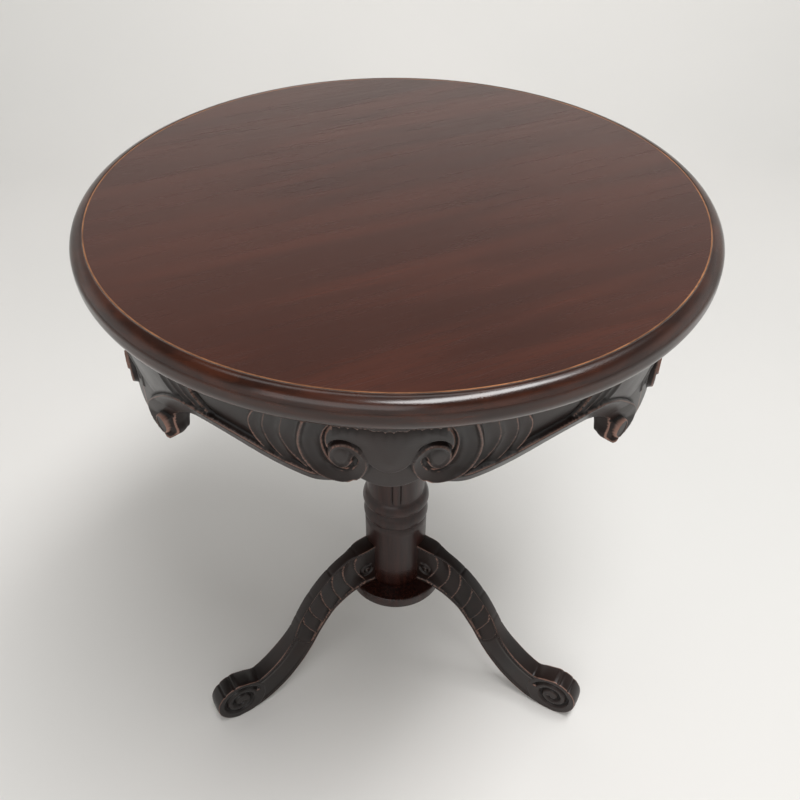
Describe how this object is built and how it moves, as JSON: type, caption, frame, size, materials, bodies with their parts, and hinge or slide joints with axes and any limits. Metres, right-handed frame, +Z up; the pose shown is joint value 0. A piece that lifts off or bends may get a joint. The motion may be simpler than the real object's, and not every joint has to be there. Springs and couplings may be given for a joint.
{
  "type": "round pedestal table",
  "caption": "Round side table: veneered top in a half-round rim, carved scroll apron, turned column and S-curved legs with scrolled feet.",
  "frame": {"origin": "on the floor, under the axis of the column and the middle of the round top", "axes": "+Z up along the column, towards the top; -Y towards the front, between the two front legs; +X to the right"},
  "size_m": [0.5998, 0.5998, 0.69],
  "materials": {
    "top_face_veneer": "satin lacquer over reddish brown mahogany veneer",
    "rim_wood": "semi-gloss dark brown lacquer",
    "inlay_line": "light wood line under lacquer",
    "carved_wood": "dark walnut stain, glaze in the recesses, edges rubbed lighter",
    "turned_wood": "dark brown satin lacquer",
    "inner_timber": "plain, thinly stained",
    "screw_steel": "zinc plated"
  },
  "bodies": {
    "root": {"top_veneer": "top_face_veneer", "inlay_stringing": "inlay_line", "top_core": "inner_timber", "backing_veneer": "inner_timber", "rim_splines": "inner_timber", "cleat_front": "inner_timber", "cleat_back": "inner_timber", "top_block": "inner_timber", "tenon_wedge": "inner_timber", "joint_block_1": "inner_timber", "joint_block_2": "inner_timber", "joint_block_3": "inner_timber", "middle_block_1": "inner_timber", "middle_block_2": "inner_timber", "middle_block_3": "inner_timber", "rim_segment_1": "rim_wood", "rim_segment_2": "rim_wood", "rim_segment_3": "rim_wood", "rim_segment_4": "rim_wood", "apron_front": "carved_wood", "apron_left": "carved_wood", "apron_right": "carved_wood", "leg_front_left": "carved_wood", "leg_front_right": "carved_wood", "leg_back": "carved_wood", "column": "turned_wood", "base_disc": "turned_wood", "apron_screws": "screw_steel", "cleat_screws": "screw_steel", "top_block_screws": "screw_steel", "base_disc_screws": "screw_steel"}
  },
  "joints": []
}
